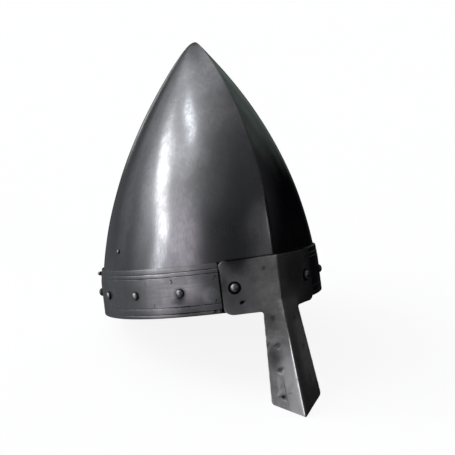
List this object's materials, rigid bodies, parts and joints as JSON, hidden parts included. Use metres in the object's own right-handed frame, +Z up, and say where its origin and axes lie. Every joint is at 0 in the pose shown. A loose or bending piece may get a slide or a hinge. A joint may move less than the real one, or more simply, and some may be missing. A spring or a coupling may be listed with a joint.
{
  "type": "conical nasal helmet",
  "caption": "Pointed steel helmet with a front keel, a moulded riveted brow band and a broad folded nose guard, standing tipped back on its rim and nose guard.",
  "frame": {"origin": "on the surface the helmet stands on, under the middle of its box", "axes": "+Z up from that surface, -Y the way the face looks, +X the wearer's left; the helmet's own axis is tipped back 20.6 degrees about X"},
  "size_m": [0.2054, 0.2848, 0.272],
  "materials": {
    "skull_steel": "dark polished steel with faint vertical grinding marks",
    "band_steel": "dark satin steel with fine scratches and small dents",
    "plate_steel": "pale satin steel, mottled, with small dents and stains, worn bright along its crease",
    "rivet_steel": "polished domed heads"
  },
  "bodies": {
    "root": {"skull": "skull_steel", "brow_band": "band_steel", "nasal_plate": "plate_steel", "ear_rivet_left": "rivet_steel", "ear_rivet_right": "rivet_steel", "side_rivet_left": "rivet_steel", "side_rivet_right": "rivet_steel", "edge_stud_left": "rivet_steel", "edge_stud_right": "rivet_steel", "band_rivet_left_1": "rivet_steel", "band_rivet_left_2": "rivet_steel", "band_rivet_left_3": "rivet_steel", "band_rivet_left_4": "rivet_steel", "band_rivet_left_5": "rivet_steel", "band_rivet_left_6": "rivet_steel", "band_rivet_right_1": "rivet_steel", "band_rivet_right_2": "rivet_steel", "band_rivet_right_3": "rivet_steel", "band_rivet_right_4": "rivet_steel", "band_rivet_right_5": "rivet_steel", "band_rivet_right_6": "rivet_steel"}
  },
  "joints": []
}
